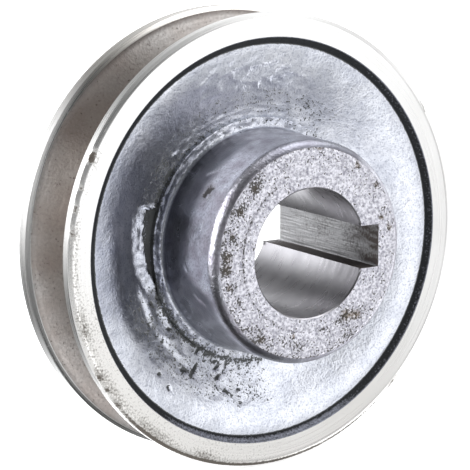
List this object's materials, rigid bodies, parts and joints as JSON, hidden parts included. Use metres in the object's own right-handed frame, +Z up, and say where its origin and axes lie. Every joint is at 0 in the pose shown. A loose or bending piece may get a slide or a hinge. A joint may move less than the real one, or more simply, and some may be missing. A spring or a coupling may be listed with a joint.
{
  "type": "v belt pulley",
  "caption": "Cast aluminium V belt pulley with one groove, a dished web, a hub standing out on one side, and a bore with a keyway.",
  "frame": {"origin": "on the bore's axis, in the middle plane of the belt groove", "axes": "+Y along the bore's axis, away from the face of the projecting hub; +X out through the middle of the keyway; +Z up"},
  "size_m": [0.0854, 0.0325, 0.0856],
  "materials": {
    "cast_aluminium": "as cast, with turned rim, groove and bore"
  },
  "bodies": {
    "root": {"pulley_casting": "cast_aluminium"}
  },
  "joints": []
}
